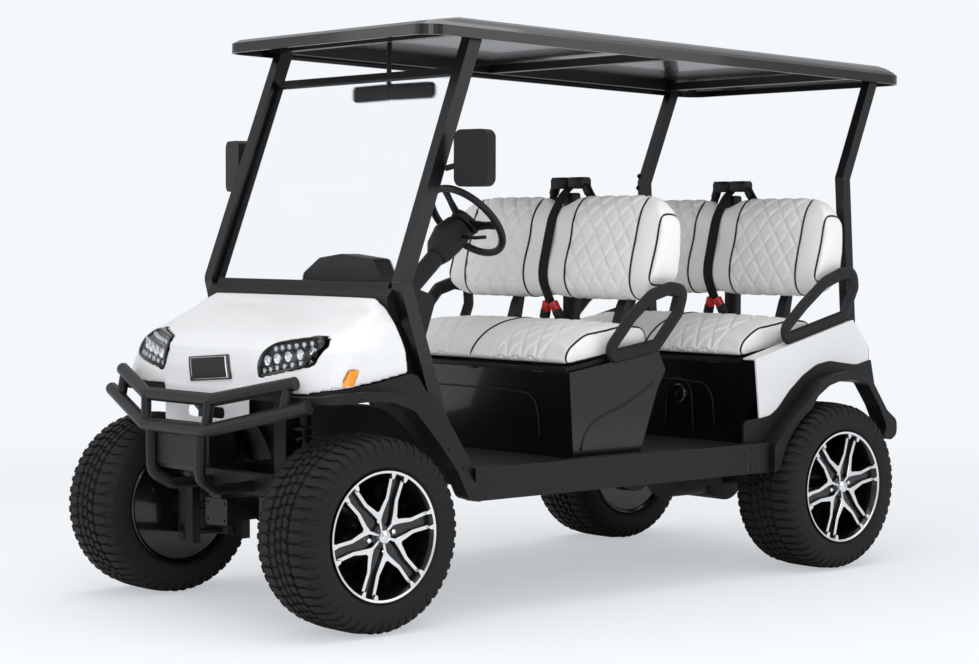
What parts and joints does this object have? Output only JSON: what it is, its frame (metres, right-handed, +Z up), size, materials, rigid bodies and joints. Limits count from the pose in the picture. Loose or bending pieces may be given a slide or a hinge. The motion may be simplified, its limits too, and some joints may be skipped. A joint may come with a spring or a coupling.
{
  "type": "golf cart",
  "caption": "Lifted open golf cart with two bench rows, canopy roof, folding windshield, tubular brush guard, fender flares, quilted seats and all-terrain tyres on alloy rims.",
  "frame": {"origin": "on the ground, at the centre of the cart's footprint", "axes": "+Z up, -Y towards the front of the cart, +X towards its left side"},
  "size_m": [1.367, 2.8251, 1.8355],
  "materials": {
    "black_steel": "satin powder coat",
    "black_paint": "gloss",
    "white_paint": "gloss automotive paint",
    "black_gloss": "gloss",
    "black_plastic": "fine textured",
    "floor_mat": "pebbled mat",
    "lamp_glass": "clear moulded lens",
    "amber_lens": "gloss lens",
    "red_lens": "gloss lens",
    "clear_glass": "clear",
    "white_leather": "quilted, fine grain",
    "belt_webbing": "woven",
    "red_plastic": "gloss",
    "cast_steel": "satin",
    "battery_case": "plain",
    "tyre_rubber": "matt",
    "machined_alloy": "machined face over gloss black"
  },
  "bodies": {
    "chassis": {"frame": "black_steel", "floor_pan": "floor_mat", "rocker_panels": "black_plastic", "front_cowl": "white_paint", "cowl_top": "black_plastic", "dashboard": "black_plastic", "head_lamps": "lamp_glass", "side_markers": "amber_lens", "brush_guard": "black_steel", "fender_flares": "black_plastic", "front_posts": "black_paint", "windshield_frame": "black_plastic", "windshield_upper": "clear_glass", "windshield_lower": "clear_glass", "roof": "black_gloss", "roof_frame": "black_paint", "rear_posts": "black_paint", "mirrors": "black_plastic", "seat_bases": "black_plastic", "backrests": "white_leather", "back_supports": "black_plastic", "hip_restraints": "black_plastic", "rear_body": "white_paint", "tail_lamps": "red_lens", "rear_bumper": "black_plastic", "belt_tower": "black_paint", "seat_belts": "belt_webbing", "belt_buckles": "red_plastic", "steering_column": "black_plastic", "pedals": "black_steel", "front_arms": "black_steel", "front_shocks": "black_steel", "rear_axle": "cast_steel", "rear_springs": "black_steel", "battery_pack": "battery_case"},
    "front_seat": {"front_seat_pan": "black_plastic", "front_cushion": "white_leather"},
    "rear_seat": {"rear_seat_pan": "black_plastic", "rear_cushion": "white_leather"},
    "steering_wheel": {"steering_wheel": "black_plastic"},
    "steering_rack": {"tie_rods": "cast_steel"},
    "knuckle_left": {"knuckle_left": "cast_steel"},
    "knuckle_right": {"knuckle_right": "cast_steel"},
    "wheel_front_left": {"tyre_front_left": "tyre_rubber", "rim_front_left": "machined_alloy"},
    "wheel_front_right": {"tyre_front_right": "tyre_rubber", "rim_front_right": "machined_alloy"},
    "wheel_rear_left": {"tyre_rear_left": "tyre_rubber", "rim_rear_left": "machined_alloy"},
    "wheel_rear_right": {"tyre_rear_right": "tyre_rubber", "rim_rear_right": "machined_alloy"}
  },
  "joints": [
    {"name": "steer_left", "type": "hinge", "parent": "chassis", "child": "knuckle_left", "pos_m": [0.39, -1.1005, 0.292], "axis": [0, 0, 1], "range_deg": [-24, 24]},
    {"name": "steer_right", "type": "hinge", "parent": "chassis", "child": "knuckle_right", "pos_m": [-0.39, -1.1005, 0.292], "axis": [0, 0, 1], "range_deg": [-24, 24]},
    {"name": "rack_slide", "type": "slide", "parent": "chassis", "child": "steering_rack", "axis": [1, 0, 0], "range_m": [-0.053, 0.053]},
    {"name": "steering_wheel_turn", "type": "hinge", "parent": "chassis", "child": "steering_wheel", "pos_m": [0.262, -0.4555, 1.214], "axis": [0, 0.7431, 0.6691], "range_deg": [-360, 360]},
    {"name": "front_seat_lift", "type": "hinge", "parent": "chassis", "child": "front_seat", "pos_m": [0, -0.2305, 0.727], "axis": [1, 0, 0], "range_deg": [0, 60]},
    {"name": "rear_seat_lift", "type": "hinge", "parent": "chassis", "child": "rear_seat", "pos_m": [0, 0.5965, 0.727], "axis": [1, 0, 0], "range_deg": [0, 60]},
    {"name": "front_left_wheel_spin", "type": "hinge", "parent": "knuckle_left", "child": "wheel_front_left", "pos_m": [0.526, -1.1005, 0.292], "axis": [1, 0, 0], "continuous": true},
    {"name": "front_right_wheel_spin", "type": "hinge", "parent": "knuckle_right", "child": "wheel_front_right", "pos_m": [-0.526, -1.1005, 0.292], "axis": [1, 0, 0], "continuous": true},
    {"name": "rear_left_wheel_spin", "type": "hinge", "parent": "chassis", "child": "wheel_rear_left", "pos_m": [0.526, 0.9465, 0.292], "axis": [1, 0, 0], "continuous": true},
    {"name": "rear_right_wheel_spin", "type": "hinge", "parent": "chassis", "child": "wheel_rear_right", "pos_m": [-0.526, 0.9465, 0.292], "axis": [1, 0, 0], "continuous": true}
  ],
  "couplings": [
    {"joint": "steer_right", "follows": "steer_left", "ratio": 1},
    {"joint": "rack_slide", "follows": "steer_left", "m_per_rad": -0.1263},
    {"joint": "steering_wheel_turn", "follows": "steer_left", "ratio": 15}
  ]
}
